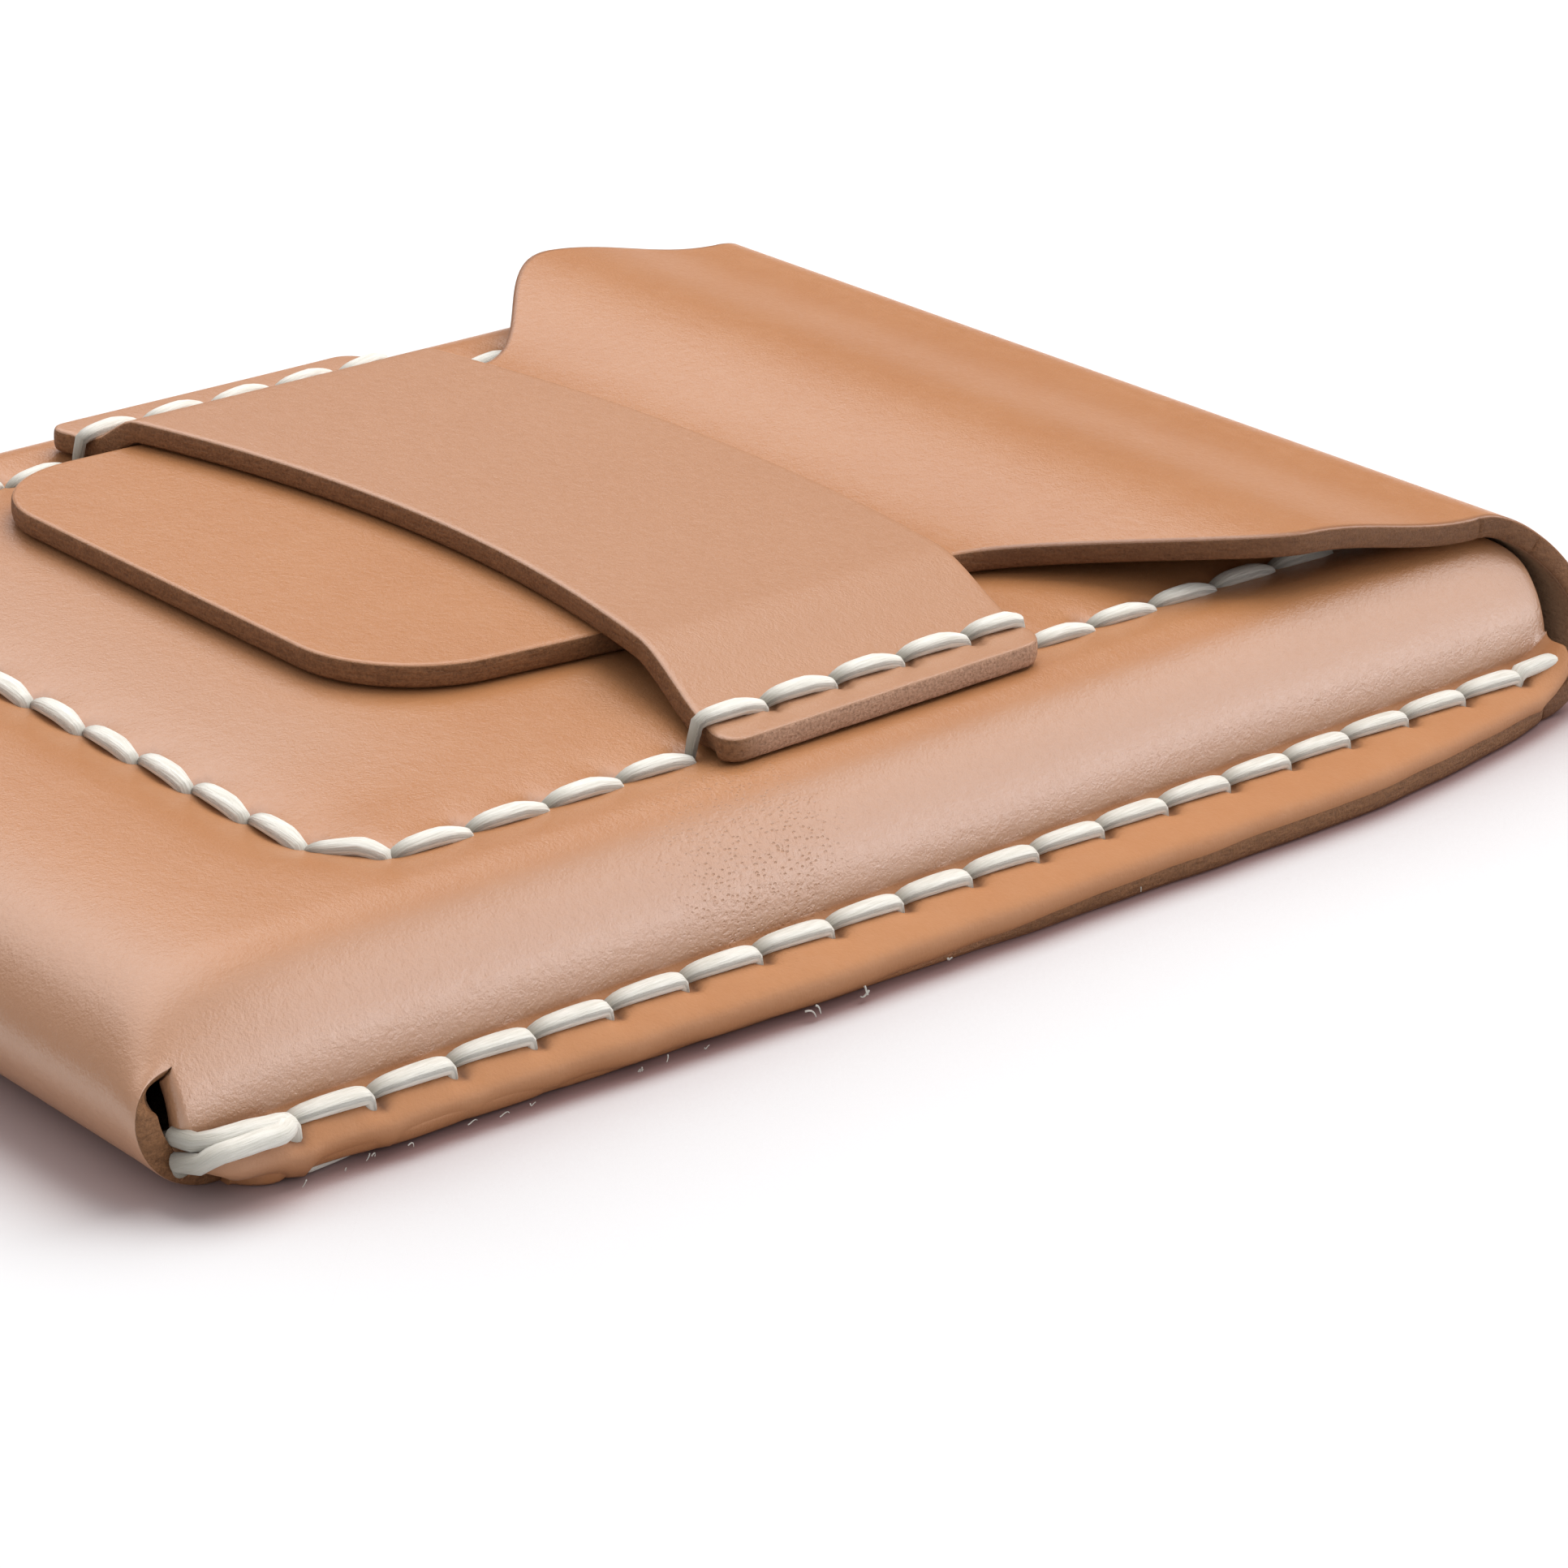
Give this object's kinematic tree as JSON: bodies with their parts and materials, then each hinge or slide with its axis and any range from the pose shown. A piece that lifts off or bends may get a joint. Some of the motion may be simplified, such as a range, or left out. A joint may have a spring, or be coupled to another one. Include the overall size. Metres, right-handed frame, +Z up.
{
  "type": "leather flap wallet",
  "caption": "Hand-stitched leather flap wallet with a moulded front, a rounded flap and a tongue tucked under a stitched strap.",
  "frame": {"origin": "centre of the closed wallet's footprint, on the surface the back lies on", "axes": "+X from the bottom fold to the top fold, along the wallet's length; +Y across the wallet, to the left when looking from the top fold to the bottom fold from above; +Z up, out of the front"},
  "size_m": [0.1044, 0.0868, 0.0133],
  "materials": {
    "hide": "smooth natural vegetable-tanned leather, satin, with darker raw edges",
    "lining": "undyed leather, suede side, matte",
    "thread": "waxed linen thread, matte"
  },
  "bodies": {
    "shell": {"back_panel": "hide", "bottom_fold": "hide", "front_panel": "hide", "inner_pocket": "lining", "strap": "hide", "near_side_seam": "thread", "far_side_seam": "thread", "pocket_seam": "thread"},
    "fold_low": {"top_fold_low": "hide"},
    "fold_mid": {"top_fold_mid": "hide"},
    "fold_high": {"top_fold_high": "hide"},
    "flap": {"flap": "hide", "tongue": "hide"}
  },
  "joints": [
    {"name": "flap_open", "type": "hinge", "parent": "shell", "child": "fold_low", "pos_m": [0.04871, 0, 0.00043], "axis": [0, 1, 0], "range_deg": [0, 42.5]},
    {"name": "fold_bend_low", "type": "hinge", "parent": "fold_low", "child": "fold_mid", "pos_m": [0.05177, 0, 0.00349], "axis": [0, 1, 0], "range_deg": [0, 42.5]},
    {"name": "fold_bend_high", "type": "hinge", "parent": "fold_mid", "child": "fold_high", "pos_m": [0.05177, 0, 0.00781], "axis": [0, 1, 0], "range_deg": [0, 42.5]},
    {"name": "fold_bend_flap", "type": "hinge", "parent": "fold_high", "child": "flap", "pos_m": [0.04871, 0, 0.01087], "axis": [0, 1, 0], "range_deg": [0, 42.5]}
  ],
  "couplings": [
    {"joint": "fold_bend_low", "follows": "flap_open", "ratio": 1},
    {"joint": "fold_bend_high", "follows": "flap_open", "ratio": 1},
    {"joint": "fold_bend_flap", "follows": "flap_open", "ratio": 1}
  ]
}
